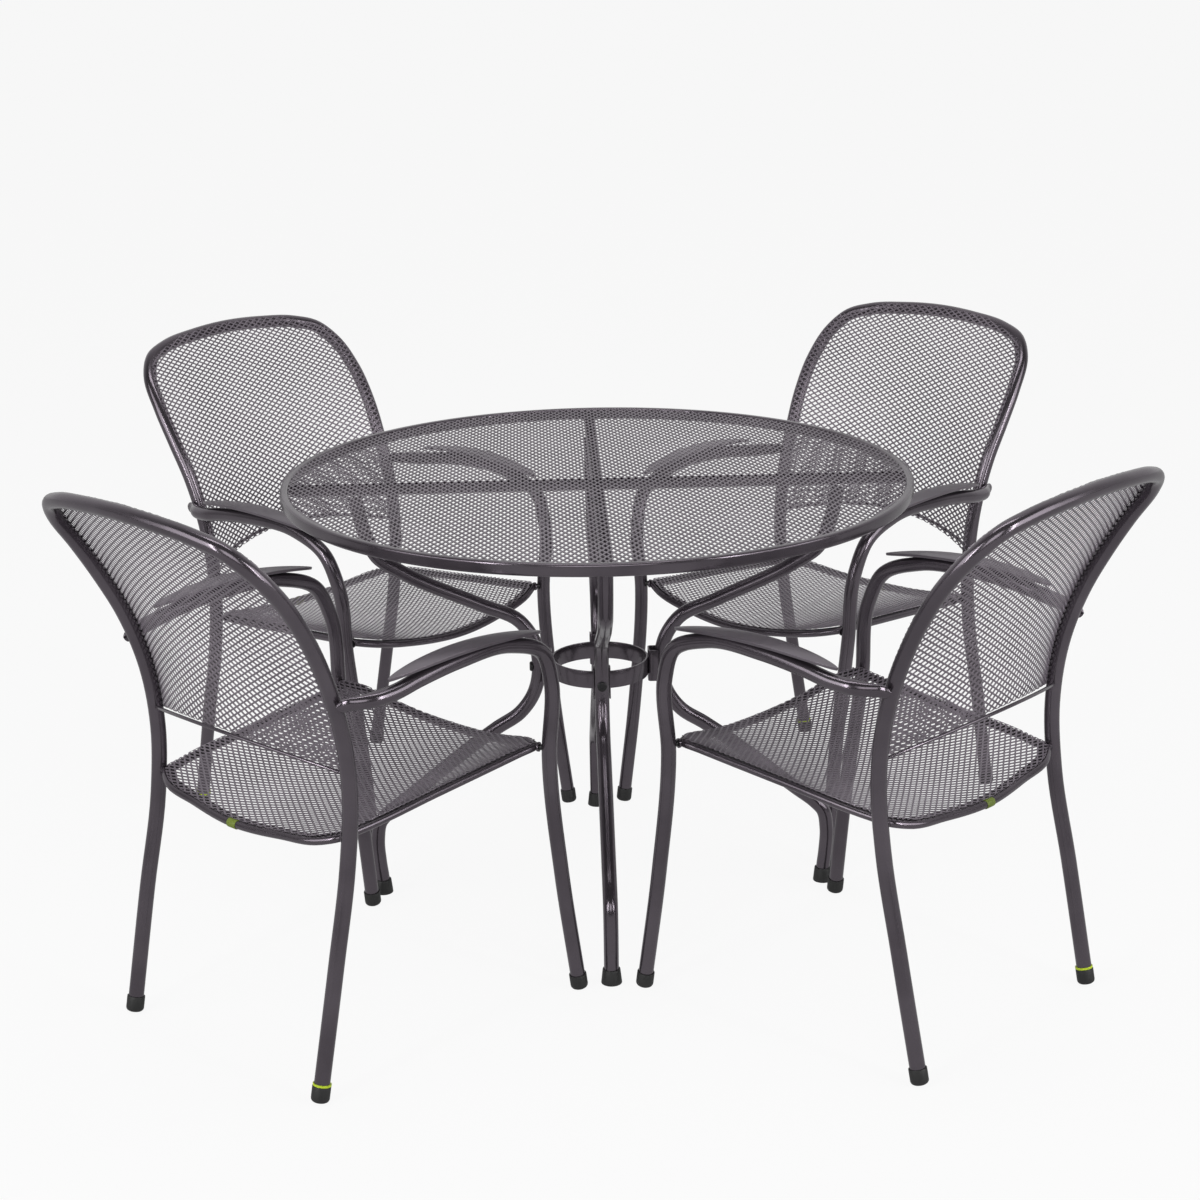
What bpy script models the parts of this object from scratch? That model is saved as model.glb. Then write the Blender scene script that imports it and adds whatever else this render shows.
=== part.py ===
"""Patio dining set: a round table with an expanded-metal top and four matching armchairs.

Metres, +Z up. The origin is on the ground at the middle of the table. Each chair is modelled once in
its own frame (+Y to the table, +X to the sitter's right, origin on the ground between its four feet)
and set out at the diagonals, facing the middle.
"""

import math

import bmesh
import bpy
from mathutils import Matrix, Vector

# Clearance between pieces that touch.
GAP = 0.0003

# Table.
TOP_HEIGHT = 0.740
TOP_RADIUS = 0.525
RIM_WIDTH = 0.0135
RIM_HEIGHT = 0.0205
RIM_STEPS = 56
SHEET_DROP = 0.002
SHEET = 0.0015
TUBE = 0.012
BAR = 0.010
RING_RADIUS = 0.0825
RING_HEIGHT = 0.030
RING_WALL = 0.0035
RING_MIDDLE = 0.409
FOOT_HEIGHT = 0.025
TABLE_FOOT_RADIUS = 0.385

# Chair, and how far from the middle of the table it stands.
CHAIR_DISTANCE = 0.582
SEAT_ROD = 0.00625
BACK_ROD = 0.0028
CHAIR_FOOT = 0.0140
PAD_LENGTH = 0.315
PAD_WIDTH = 0.040
PAD_THICKNESS = 0.0045

# Half of the chair's back hoop, from the ground up to the middle of the top rail.
HOOP = [
    (0.2227, -0.2619, 0.0),
    (0.2238, -0.2190, 0.2010),
    (0.2224, -0.1868, 0.3480),
    (0.2238, -0.1774, 0.4550),
    (0.2260, -0.1887, 0.5540),
    (0.2300, -0.2200, 0.6470),
    (0.2356, -0.2560, 0.7170),
    (0.2350, -0.2920, 0.7730),
    (0.2225, -0.3330, 0.8240),
    (0.1970, -0.3560, 0.8520),
    (0.1560, -0.3690, 0.8655),
    (0.0800, -0.3790, 0.8750),
    (0.0000, -0.3830, 0.8785),
]
# The front leg and arm, from the ground up and back to the hoop.
ARM = [
    (0.2463, 0.2626, 0.0),
    (0.2388, 0.2348, 0.2056),
    (0.2438, 0.2085, 0.4111),
    (0.2542, 0.2058, 0.5344),
    (0.2605, 0.1840, 0.5850),
    (0.2637, 0.1131, 0.6167),
    (0.2700, 0.0000, 0.6225),
    (0.2715, -0.0800, 0.6155),
    (0.2705, -0.1300, 0.6075),
    (0.2615, -0.1700, 0.6040),
    (0.2500, -0.1930, 0.6030),
    (0.2456, -0.2105, 0.6025),
]
# Half of the loop around the seat, from the middle of the back to the middle of the front.
SEAT_LOOP = [
    (0.0000, -0.2150, 0.3640),
    (0.1000, -0.2080, 0.3700),
    (0.1800, -0.1980, 0.3800),
    (0.2025, -0.1830, 0.3860),
    (0.2080, -0.1550, 0.3890),
    (0.2150, 0.0000, 0.4040),
    (0.2195, 0.1650, 0.4190),
    (0.2205, 0.2010, 0.4225),
    (0.2020, 0.2120, 0.4180),
    (0.1000, 0.2290, 0.3990),
    (0.0000, 0.2350, 0.3920),
]
# A table leg as distance from the middle and height, from the ground up.
TABLE_LEG = [
    (TABLE_FOOT_RADIUS, 0.000),
    (0.3890, 0.0580),
    (0.3905, 0.1000),
    (0.3840, 0.1320),
    (0.3700, 0.1480),
    (0.3400, 0.1720),
    (0.1770, 0.3000),
    (0.1380, 0.3260),
    (0.1140, 0.3600),
    (0.1040, 0.4100),
    (0.1120, 0.4560),
    (0.1350, 0.4900),
    (0.1980, 0.5200),
    (0.3330, 0.5830),
    (0.3710, 0.6090),
    (0.3880, 0.6450),
    (0.4035, 0.7115),
]

for old in list(bpy.data.objects):
    bpy.data.objects.remove(old, do_unlink=True)

SET = bpy.data.collections.new("patio_dining_set")
bpy.context.scene.collection.children.link(SET)


def material(name, colour, roughness, metallic):
    """A plain Principled material."""
    made = bpy.data.materials.new(name)
    made.use_nodes = True
    shader = made.node_tree.nodes["Principled BSDF"]
    shader.inputs["Base Color"].default_value = (*colour, 1.0)
    shader.inputs["Roughness"].default_value = roughness
    shader.inputs["Metallic"].default_value = metallic
    return made


TUBE_COAT = material("tube_coat", (0.085, 0.082, 0.088), 0.38, 0.55)
MESH_COAT = material("mesh_coat", (0.110, 0.104, 0.112), 0.45, 0.50)
PAD_COAT = material("pad_coat", (0.095, 0.092, 0.098), 0.42, 0.45)
CAP_BLACK = material("cap_black", (0.018, 0.018, 0.019), 0.55, 0.0)


def smooth_line(knots, steps, closed=False):
    """Points on a smooth line through the knots: cubic pieces with chord-length tangents."""
    knots = [Vector(k) for k in knots]
    count = len(knots)

    def tangent(i):
        before = knots[(i - 1) % count] if closed or i > 0 else knots[i]
        after = knots[(i + 1) % count] if closed or i < count - 1 else knots[i]
        near = (knots[i] - before).length
        far = (after - knots[i]).length
        if near == 0.0:
            return (after - knots[i]) / far
        if far == 0.0:
            return (knots[i] - before) / near
        slope_in = (knots[i] - before) / near
        slope_out = (after - knots[i]) / far
        return (slope_in * far + slope_out * near) / (near + far)

    line = []
    for i in range(count if closed else count - 1):
        start = knots[i]
        end = knots[(i + 1) % count]
        reach = (end - start).length
        leave = tangent(i) * reach
        arrive = tangent((i + 1) % count) * reach
        for k in range(steps):
            t = k / steps
            line.append(
                start * (2 * t**3 - 3 * t**2 + 1)
                + leave * (t**3 - 2 * t**2 + t)
                + end * (3 * t**2 - 2 * t**3)
                + arrive * (t**3 - t**2)
            )
    if not closed:
        line.append(knots[-1])
    return line


def mirrored(points):
    """The same points on the other side of the chair."""
    return [Vector((-p[0], p[1], p[2])) for p in points]


def add_object(name, mesh, coat, round_shape=True):
    """Put a finished mesh into the collection as a named piece."""
    piece = bpy.data.objects.new(name, mesh)
    SET.objects.link(piece)
    mesh.name = name
    mesh.materials.clear()
    mesh.materials.append(coat)
    for face in mesh.polygons:
        face.use_smooth = round_shape and len(face.vertices) <= 4
    return piece


def tube(name, line, radius, coat, closed=False, sides=2):
    """A solid round bar along the line, made as a curve and turned into a mesh."""
    curve = bpy.data.curves.new(name, "CURVE")
    curve.dimensions = "3D"
    curve.bevel_depth = radius
    curve.bevel_resolution = sides
    curve.use_fill_caps = not closed
    spline = curve.splines.new("POLY")
    spline.points.add(len(line) - 1)
    for knot, place in zip(spline.points, line):
        knot.co = (*place, 1.0)
    spline.use_cyclic_u = closed
    holder = bpy.data.objects.new(name + "_curve", curve)
    SET.objects.link(holder)
    bpy.context.view_layer.update()
    mesh = bpy.data.meshes.new_from_object(holder)
    bpy.data.objects.remove(holder, do_unlink=True)
    work = bmesh.new()
    work.from_mesh(mesh)
    bmesh.ops.remove_doubles(work, verts=work.verts, dist=1e-5)
    bmesh.ops.recalc_face_normals(work, faces=work.faces)
    work.to_mesh(mesh)
    work.free()
    return add_object(name, mesh, coat)


def join(base, tool):
    """Weld the tool to the base with a Boolean union."""
    union = base.modifiers.new("weld", "BOOLEAN")
    union.operation = "UNION"
    union.solver = "EXACT"
    union.object = tool
    bpy.context.view_layer.update()
    graph = bpy.context.evaluated_depsgraph_get()
    mesh = bpy.data.meshes.new_from_object(base.evaluated_get(graph))
    base.modifiers.clear()
    base.data = mesh
    bpy.data.objects.remove(tool, do_unlink=True)
    return base


def sheet(name, rows, thickness, coat):
    """A curved sheet through rows of points, thickened away from its face with Solidify."""
    across = len(rows[0])
    places = [p for row in rows for p in row]
    faces = []
    for j in range(len(rows) - 1):
        for i in range(across - 1):
            a = j * across + i
            faces.append((a, a + 1, a + 1 + across, a + across))
    mesh = bpy.data.meshes.new(name)
    mesh.from_pydata(places, [], faces)
    piece = add_object(name, mesh, coat)
    thick = piece.modifiers.new("thickness", "SOLIDIFY")
    thick.thickness = thickness
    thick.offset = 0.0
    thick.use_even_offset = True
    return piece


def foot(name, ground, direction, low, high, rounding, segments):
    """A foot cap along the leg, standing on the ground. Returns it and the middle of its top."""
    work = bmesh.new()
    bmesh.ops.create_cone(
        work,
        cap_ends=True,
        segments=segments,
        radius1=low,
        radius2=high,
        depth=FOOT_HEIGHT,
        matrix=Matrix.Translation((0.0, 0.0, FOOT_HEIGHT / 2)),
    )
    rim = [e for e in work.edges if all(v.co.z < 1e-6 for v in e.verts)]
    bmesh.ops.bevel(work, geom=rim, offset=rounding, segments=2, profile=0.5, affect="EDGES")
    turn = Vector((0.0, 0.0, 1.0)).rotation_difference(direction).to_matrix().to_4x4()
    bmesh.ops.transform(work, matrix=Matrix.Translation(ground) @ turn, verts=work.verts)
    lift = -min(v.co.z for v in work.verts)
    bmesh.ops.translate(work, vec=(0.0, 0.0, lift), verts=work.verts)
    mesh = bpy.data.meshes.new(name)
    work.to_mesh(mesh)
    work.free()
    top = Vector(ground) + direction * FOOT_HEIGHT + Vector((0.0, 0.0, lift))
    return add_object(name, mesh, CAP_BLACK), top


def standing(knots, low, high, rounding, segments, name, upright=False):
    """A foot cap under the first knot, and the knots with the first one moved onto its top."""
    direction = (Vector(knots[1]) - Vector(knots[0])).normalized()
    if upright:
        direction = Vector((0.0, 0.0, 1.0))
    cap, top = foot(name, Vector(knots[0]), direction, low, high, rounding, segments)
    return cap, [top + direction * GAP] + [Vector(k) for k in knots[1:]]


# ---- One chair, in its own frame ----


def chair_feet_and_tubes():
    """The hoop, the two arms and the four foot caps."""
    right_cap, right = standing(HOOP, CHAIR_FOOT, CHAIR_FOOT, 0.005, 10, "foot_rear_right")
    left_cap, left = standing(mirrored(HOOP), CHAIR_FOOT, CHAIR_FOOT, 0.005, 10, "foot_rear_left")
    knots = right + list(reversed(left[:-1]))
    hoop = tube("back_hoop", smooth_line(knots, 2), TUBE, TUBE_COAT)
    rod_line = []
    for i in range(9):
        u = -1.0 + 2.0 * i / 8
        rod_line.append((0.2245 * u, -0.2363 + 0.0570 * u**2, 0.5184 - 0.0316 * u**2))
    join(hoop, tube("rod", rod_line, BACK_ROD, TUBE_COAT, sides=1))
    made = [right_cap, left_cap, hoop]
    for side, knots in (("right", ARM), ("left", mirrored(ARM))):
        cap, placed = standing(knots, CHAIR_FOOT, CHAIR_FOOT, 0.005, 10, "foot_front_" + side)
        line = smooth_line(placed, 2)
        arm = tube("arm_" + side, line, TUBE, TUBE_COAT)
        flatten_end(arm, line)
        made += [cap, arm]
    return made


def flatten_end(arm, line):
    """Press the last stretch of the arm flat where it is fixed to the hoop."""
    for v in arm.data.vertices:
        near = min(line, key=lambda p: (p - v.co).length)
        t = min(max((0.060 - (near - line[-1]).length) / 0.045, 0.0), 1.0)
        t = t * t * (3 - 2 * t)
        v.co.x = near.x + (v.co.x - near.x) * (1.0 - 0.65 * t)
        v.co.z = near.z + (v.co.z - near.z) * (1.0 - 0.18 * t)


def hoop_front(u, place):
    """A point of the back sheet: on the front of the hoop, bowed back between its two sides."""
    bow = 0.057 * (1.0 - u * u) * min(max((0.8785 - place.z) / 0.36, 0.0), 1.0)
    lean = 2.29 * max(place.z - 0.455, 0.0)
    out = (TUBE + 2 * GAP + SHEET / 2) / math.hypot(1.0, lean)
    return Vector((place.x * u, place.y - bow + out, place.z + out * lean))


def chair_back():
    """The curved sheet of the back, following the hoop from the lower rod to the top rail."""
    half = [p for p in smooth_line(HOOP, 2) if p.z > 0.49 and p.x > 0.05]
    rows = []
    for place in half:
        fade = min(max((0.70 - place.z) / 0.2, 0.0), 1.0)
        row = []
        for i in range(7):
            u = -1.0 + 2.0 * i / 6
            arch = 0.030 * (1.0 - u * u) * fade
            top = 0.0785 * (place.x * (1.0 - u * u)) * (1.0 - fade) * 0.5
            row.append(hoop_front(u, place + Vector((0.0, 0.0, arch + top))))
        rows.append(row)
    return sheet("back_mesh", rows, SHEET, MESH_COAT)


def chair_seat():
    """The loop of rod around the seat and the sagging sheet that rests on it."""
    left = mirrored(SEAT_LOOP[1:-1])
    loop = [Vector(k) for k in SEAT_LOOP] + list(reversed(left))
    frame = tube("seat_frame", smooth_line(loop, 1, closed=True), SEAT_ROD, TUBE_COAT, True, 1)
    rows = []
    lift = Vector((0.0, 0.0, SEAT_ROD + SHEET / 2 + 5 * GAP))
    for edge in [Vector(p) for p in SEAT_LOOP if p[0] > 0.04]:
        middle = 0.3640 + 0.0280 * (edge.y + 0.2150) / 0.4500
        row = []
        for i in range(7):
            u = -1.0 + 2.0 * i / 6
            height = middle + (edge.z - middle) * u * u
            row.append(Vector((edge.x * u, edge.y, height)) + lift)
        rows.append(row)
    return [frame, sheet("seat_mesh", rows, SHEET, MESH_COAT)]


def pad_bottom(along):
    """Height of an arm rest's underside, from -1 at its rear tip to 1 at its front tip."""
    return 0.6390 - 0.0165 * along * along - 0.0030 * along


def chair_pads():
    """The leaf-shaped arm rests, each with two pegs down to the tube of the arm."""
    made = []
    for side, sign in (("right", 1.0), ("left", -1.0)):
        work = bmesh.new()
        bmesh.ops.create_circle(work, cap_ends=True, segments=20, radius=1.0)
        for v in work.verts:
            along = v.co.y
            width = (1.0 - along * along) ** 0.65
            v.co.x = math.copysign(width, v.co.x) if abs(v.co.x) > 1e-6 else 0.0
            v.co.x *= PAD_WIDTH / 2
            v.co.x += sign * (0.2665 + 0.0030 * (1.0 - along * along) - 0.0037 * along)
            v.co.y = 0.0205 + along * PAD_LENGTH / 2
            v.co.z = pad_bottom(along)
        solid = bmesh.ops.extrude_face_region(work, geom=work.faces[:])
        top = [g for g in solid["geom"] if isinstance(g, bmesh.types.BMVert)]
        bmesh.ops.translate(work, vec=(0.0, 0.0, PAD_THICKNESS), verts=top)
        bmesh.ops.triangulate(work, faces=[f for f in work.faces if len(f.verts) > 4])
        bmesh.ops.recalc_face_normals(work, faces=work.faces)
        mesh = bpy.data.meshes.new("arm_pad_" + side)
        work.to_mesh(mesh)
        work.free()
        pad = add_object("arm_pad_" + side, mesh, PAD_COAT, False)
        arm_line = smooth_line(ARM, 12)
        for y in (0.100, -0.055):
            under = min(arm_line[60:], key=lambda p: abs(p.y - y))
            low = under.z + TUBE + 2 * GAP
            top = pad_bottom((y - 0.0205) / (PAD_LENGTH / 2)) + 0.002
            peg = tube(
                "peg",
                [(sign * under.x, y, low), (sign * under.x, y, top)],
                0.004,
                PAD_COAT,
                sides=2,
            )
            join(pad, peg)
        made.append(pad)
    return made


chair = chair_feet_and_tubes() + [chair_back()] + chair_seat() + chair_pads()
places = (
    ("chair_front_left_", 225),
    ("chair_front_right_", 315),
    ("chair_back_right_", 45),
    ("chair_back_left_", 135),
)
for prefix, angle in places:
    turn = Matrix.Rotation(math.radians(angle + 90), 4, "Z")
    place = turn @ Matrix.Translation((0.0, -CHAIR_DISTANCE, 0.0))
    for piece in chair:
        copy = piece.copy()
        copy.name = prefix + piece.name
        copy.data = piece.data.copy()
        copy.data.name = copy.name
        copy.data.transform(place)
        SET.objects.link(copy)
for piece in chair:
    bpy.data.objects.remove(piece, do_unlink=True)

# ---- The table ----


def disc(name, radius, low, high, segments, coat):
    """A flat round plate."""
    work = bmesh.new()
    bmesh.ops.create_cone(
        work,
        cap_ends=True,
        segments=segments,
        radius1=radius,
        radius2=radius,
        depth=high - low,
        matrix=Matrix.Translation((0.0, 0.0, (low + high) / 2)),
    )
    mesh = bpy.data.meshes.new(name)
    work.to_mesh(mesh)
    work.free()
    return add_object(name, mesh, coat)


def lathe(name, profile, steps, coat):
    """A closed profile turned about the Z axis with a Screw modifier."""
    mesh = bpy.data.meshes.new(name)
    edges = [(i, (i + 1) % len(profile)) for i in range(len(profile))]
    mesh.from_pydata([(r, 0.0, z) for r, z in profile], edges, [])
    piece = add_object(name, mesh, coat)
    screw = piece.modifiers.new("turn", "SCREW")
    screw.steps = steps
    screw.render_steps = steps
    screw.use_merge_vertices = True
    screw.merge_threshold = 0.0001
    screw.use_smooth_shade = True
    bpy.context.view_layer.update()
    graph = bpy.context.evaluated_depsgraph_get()
    turned = bpy.data.meshes.new_from_object(piece.evaluated_get(graph))
    piece.modifiers.clear()
    piece.data = turned
    work = bmesh.new()
    work.from_mesh(turned)
    bmesh.ops.recalc_face_normals(work, faces=work.faces)
    work.to_mesh(turned)
    work.free()
    return piece


sheet_top = TOP_HEIGHT - SHEET_DROP
inner = TOP_RADIUS - RIM_WIDTH
low = TOP_HEIGHT - RIM_HEIGHT
lathe(
    "table_rim",
    [
        (inner, TOP_HEIGHT - 0.005),
        (inner + 0.0035, TOP_HEIGHT),
        (TOP_RADIUS - 0.0045, TOP_HEIGHT),
        (TOP_RADIUS, TOP_HEIGHT - 0.006),
        (TOP_RADIUS, low + 0.003),
        (TOP_RADIUS - 0.003, low),
        (inner, low),
    ],
    RIM_STEPS,
    TUBE_COAT,
)
disc("table_top_mesh", inner * math.cos(math.pi / RIM_STEPS) - GAP, sheet_top - SHEET, sheet_top, RIM_STEPS, MESH_COAT)

bar_middle = sheet_top - SHEET - GAP - BAR
reach = inner * math.cos(math.pi / RIM_STEPS) - 0.0006
bars = tube("table_crossbars", [(-reach, 0.0, bar_middle), (reach, 0.0, bar_middle)], BAR, TUBE_COAT)
join(bars, tube("bar", [(0.0, -reach, bar_middle), (0.0, reach, bar_middle)], BAR, TUBE_COAT))
for face in bars.data.polygons:
    face.use_smooth = len(face.vertices) <= 4

half_ring = RING_HEIGHT / 2
lathe(
    "table_centre_ring",
    [
        (RING_RADIUS - RING_WALL, RING_MIDDLE + half_ring),
        (RING_RADIUS, RING_MIDDLE + half_ring),
        (RING_RADIUS, RING_MIDDLE - half_ring),
        (RING_RADIUS - RING_WALL, RING_MIDDLE - half_ring),
    ],
    36,
    TUBE_COAT,
)

for name, angle in (("right", 0), ("back", 90), ("left", 180), ("front", 270)):
    turn = Matrix.Rotation(math.radians(angle), 4, "Z")
    knots = [turn @ Vector((r, 0.0, z)) for r, z in TABLE_LEG]
    cap, placed = standing(knots, 0.0170, 0.0140, 0.0012, 16, "table_foot_" + name, True)
    placed[0].z += 0.0016
    tube("table_leg_" + name, smooth_line(placed, 1), TUBE, TUBE_COAT)
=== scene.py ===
# %% [markdown]
# # A patio dining set
# A round table with an expanded-metal top and four armchairs of bent steel tube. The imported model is
# loaded first as a fixed frame. Each visible piece is then made finely around it and rides on one of
# its five bodies: the table, or one of the chairs, which can be pulled straight out.

# %% Load the frame
import math

import bmesh
import bpy
from mathutils import Matrix, Vector


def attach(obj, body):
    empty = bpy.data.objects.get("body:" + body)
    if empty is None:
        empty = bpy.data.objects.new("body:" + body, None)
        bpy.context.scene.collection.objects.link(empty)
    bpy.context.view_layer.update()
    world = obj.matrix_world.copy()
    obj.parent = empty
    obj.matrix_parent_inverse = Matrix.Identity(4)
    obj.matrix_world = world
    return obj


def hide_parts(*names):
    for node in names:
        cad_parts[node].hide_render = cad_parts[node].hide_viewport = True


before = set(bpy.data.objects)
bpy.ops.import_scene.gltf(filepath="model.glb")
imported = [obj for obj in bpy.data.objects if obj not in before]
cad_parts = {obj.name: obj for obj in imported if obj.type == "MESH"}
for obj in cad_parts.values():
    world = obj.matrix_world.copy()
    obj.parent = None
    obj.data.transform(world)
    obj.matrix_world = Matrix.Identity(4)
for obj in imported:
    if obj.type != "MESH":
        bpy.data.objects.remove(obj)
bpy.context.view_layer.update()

# %% [markdown]
# An operator acts on everything that is selected. The loaded nodes arrive selected, so each step
# starts by picking one piece only. Edit-mode steps pick their faces by place and direction.


# %% Picking and finishing pieces
def pick(piece):
    """Select one piece only and make it active."""
    if bpy.context.object and bpy.context.object.mode != "OBJECT":
        bpy.ops.object.mode_set(mode="OBJECT")
    bpy.ops.object.select_all(action="DESELECT")
    piece.select_set(True)
    bpy.context.view_layer.objects.active = piece


def edit_faces(piece, test):
    """Open edit mode with just the faces selected whose middle and normal pass the test."""
    pick(piece)
    bpy.context.tool_settings.mesh_select_mode = (False, False, True)
    bpy.ops.object.mode_set(mode="EDIT")
    bpy.ops.mesh.select_all(action="DESELECT")
    bpy.ops.object.mode_set(mode="OBJECT")
    for face in piece.data.polygons:
        face.select = test(face.center, face.normal)
    bpy.ops.object.mode_set(mode="EDIT")


def done_editing(piece, smooth_angle=35):
    """Back to object mode, with the place in the mesh and the shading smoothed up to an angle."""
    bpy.ops.object.mode_set(mode="OBJECT")
    pick(piece)
    bpy.ops.object.transform_apply(location=True, rotation=True, scale=True)
    bpy.ops.object.shade_smooth_by_angle(angle=math.radians(smooth_angle))
    return piece


def apply_modifier(piece, kind, **settings):
    """Add a modifier with these settings and apply it."""
    pick(piece)
    modifier = piece.modifiers.new(kind.lower(), kind)
    for key, value in settings.items():
        setattr(modifier, key, value)
    bpy.ops.object.modifier_apply(modifier=modifier.name)


def name_piece(piece, name, finish=None):
    """Give the piece its name, and its finish as the only material."""
    piece.name = name
    piece.data.name = name
    if finish:
        piece.data.materials.clear()
        piece.data.materials.append(finish)
    return piece


def join_pieces(base, *others):
    """Join pieces that are one part on the real object."""
    pick(base)
    for other in others:
        other.select_set(True)
    bpy.ops.object.join()
    return base


# %% [markdown]
# All the steel is sprayed with dark grey powder and baked. Baked powder is never a perfect mirror:
# it has a fine orange-peel ripple and slight shifts of tone where the coat is thicker. One node group
# makes both, and each finish sets its own amounts.


# %% Shared effect: baked powder coat
def powder_group():
    group = bpy.data.node_groups.new("baked_powder", "ShaderNodeTree")
    face = group.interface
    for label, value in (("Tone Scale", 9.0), ("Grain Scale", 900.0), ("Base Roughness", 0.36)):
        socket = face.new_socket(label, in_out="INPUT", socket_type="NodeSocketFloat")
        socket.default_value = value
    for label, value in (("Dark", (0.03, 0.03, 0.03, 1)), ("Light", (0.06, 0.06, 0.06, 1))):
        socket = face.new_socket(label, in_out="INPUT", socket_type="NodeSocketColor")
        socket.default_value = value
    face.new_socket("Colour", in_out="OUTPUT", socket_type="NodeSocketColor")
    face.new_socket("Roughness", in_out="OUTPUT", socket_type="NodeSocketFloat")
    face.new_socket("Height", in_out="OUTPUT", socket_type="NodeSocketFloat")
    nodes = group.nodes
    links = group.links
    entry = nodes.new("NodeGroupInput")
    leave = nodes.new("NodeGroupOutput")
    place = nodes.new("ShaderNodeTexCoord")
    tone = nodes.new("ShaderNodeTexNoise")
    tone.inputs["Detail"].default_value = 4.0
    grain = nodes.new("ShaderNodeTexNoise")
    grain.inputs["Detail"].default_value = 2.0
    links.new(place.outputs["Object"], tone.inputs["Vector"])
    links.new(place.outputs["Object"], grain.inputs["Vector"])
    links.new(entry.outputs["Tone Scale"], tone.inputs["Scale"])
    links.new(entry.outputs["Grain Scale"], grain.inputs["Scale"])
    spread = nodes.new("ShaderNodeMapRange")
    spread.inputs["From Min"].default_value = 0.35
    spread.inputs["From Max"].default_value = 0.65
    links.new(tone.outputs["Fac"], spread.inputs["Value"])
    blend = nodes.new("ShaderNodeMix")
    blend.data_type = "RGBA"
    links.new(spread.outputs["Result"], blend.inputs["Factor"])
    links.new(entry.outputs["Dark"], blend.inputs[6])
    links.new(entry.outputs["Light"], blend.inputs[7])
    links.new(blend.outputs[2], leave.inputs["Colour"])
    gloss = nodes.new("ShaderNodeMath")
    gloss.operation = "MULTIPLY_ADD"
    gloss.inputs[1].default_value = 0.10
    links.new(grain.outputs["Fac"], gloss.inputs[0])
    links.new(entry.outputs["Base Roughness"], gloss.inputs[2])
    links.new(gloss.outputs[0], leave.inputs["Roughness"])
    links.new(grain.outputs["Fac"], leave.inputs["Height"])
    return group


baked_powder = powder_group()


def powder_finish(name, dark, light, roughness, metallic, coat, bump=0.05):
    """A powder-coat material: the shared effect feeds colour, roughness and bump."""
    made = bpy.data.materials.new(name)
    made.use_nodes = True
    nodes = made.node_tree.nodes
    links = made.node_tree.links
    shader = nodes["Principled BSDF"]
    shader.inputs["Metallic"].default_value = metallic
    shader.inputs["Coat Weight"].default_value = coat
    shader.inputs["Coat Roughness"].default_value = 0.22
    effect = nodes.new("ShaderNodeGroup")
    effect.node_tree = baked_powder
    effect.inputs["Dark"].default_value = (*dark, 1.0)
    effect.inputs["Light"].default_value = (*light, 1.0)
    effect.inputs["Base Roughness"].default_value = roughness
    ripple = nodes.new("ShaderNodeBump")
    ripple.inputs["Strength"].default_value = bump
    ripple.inputs["Distance"].default_value = 0.0004
    links.new(effect.outputs["Colour"], shader.inputs["Base Color"])
    links.new(effect.outputs["Roughness"], shader.inputs["Roughness"])
    links.new(effect.outputs["Height"], ripple.inputs["Height"])
    links.new(ripple.outputs["Normal"], shader.inputs["Normal"])
    return made


tube_coat = powder_finish(
    "tube_powder_coat", (0.106, 0.091, 0.107), (0.142, 0.123, 0.143), roughness=0.15, metallic=0.85, coat=0.12
)
mesh_coat = powder_finish(
    "mesh_powder_coat", (0.172, 0.149, 0.175), (0.225, 0.196, 0.228), roughness=0.36, metallic=0.55, coat=0.10
)
# The arm rests wear the same powder as the tubes; their paler colour is painted light, for the light that
# falls on their tops.
pad_coat = powder_finish(
    "arm_rest_coat_painted_light",
    (0.145, 0.126, 0.147),
    (0.195, 0.171, 0.198),
    roughness=0.26,
    metallic=0.80,
    coat=0.20,
)
# The seat's edge strip is real steel, but it is coloured near black with a weak shine as painted shade, for
# the shade under the sheet's edge.
strip_finish_painted_shade = powder_finish(
    "edge_strip_painted_shade", (0.014, 0.012, 0.014), (0.024, 0.021, 0.024), roughness=0.60, metallic=0.0, coat=0.0
)
strip_shader = strip_finish_painted_shade.node_tree.nodes["Principled BSDF"]
strip_shader.inputs["Specular IOR Level"].default_value = 0.15
bolt_coat = powder_finish(
    "bolt_black_coat", (0.012, 0.011, 0.013), (0.022, 0.021, 0.023), roughness=0.34, metallic=0.40, coat=0.20
)

# %% [markdown]
# The foot caps are moulded in soft black plastic: no metal, a broad sheen, and a fine moulded grain.
# A thin ring and a small blank tab are moulded in bright green. The tab's green is darkened as painted shade,
# for the shade under the seat's edge where it sits.


# %% Moulded plastics
def moulded(name, dark, light, roughness):
    made = powder_finish(name, dark, light, roughness, 0.0, 0.0, bump=0.25)
    made.node_tree.nodes["Group"].inputs["Grain Scale"].default_value = 1600.0
    return made


cap_black = moulded("foot_cap_plastic", (0.010, 0.010, 0.010), (0.018, 0.018, 0.018), 0.48)
bright_green = moulded("green_plastic", (0.44, 0.58, 0.02), (0.54, 0.68, 0.03), 0.40)
# The tab's darker green is painted shade, for its place under the seat's rear edge.
green_painted_shade = moulded("green_plastic_painted_shade", (0.10, 0.14, 0.015), (0.20, 0.27, 0.02), 0.45)
print("finishes:", [m.name for m in bpy.data.materials])

# %% [markdown]
# ## Bent tubes
# Every frame member is one length of round tube bent on a former. The quickest true shape is a curve
# through the bends with a round bevel: the section stays circular everywhere. `smooth_line` puts
# points on a smooth line through a few knots, one at each end of a bend, and `bent_tube` draws the
# tube along them and turns it into a mesh.


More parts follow.
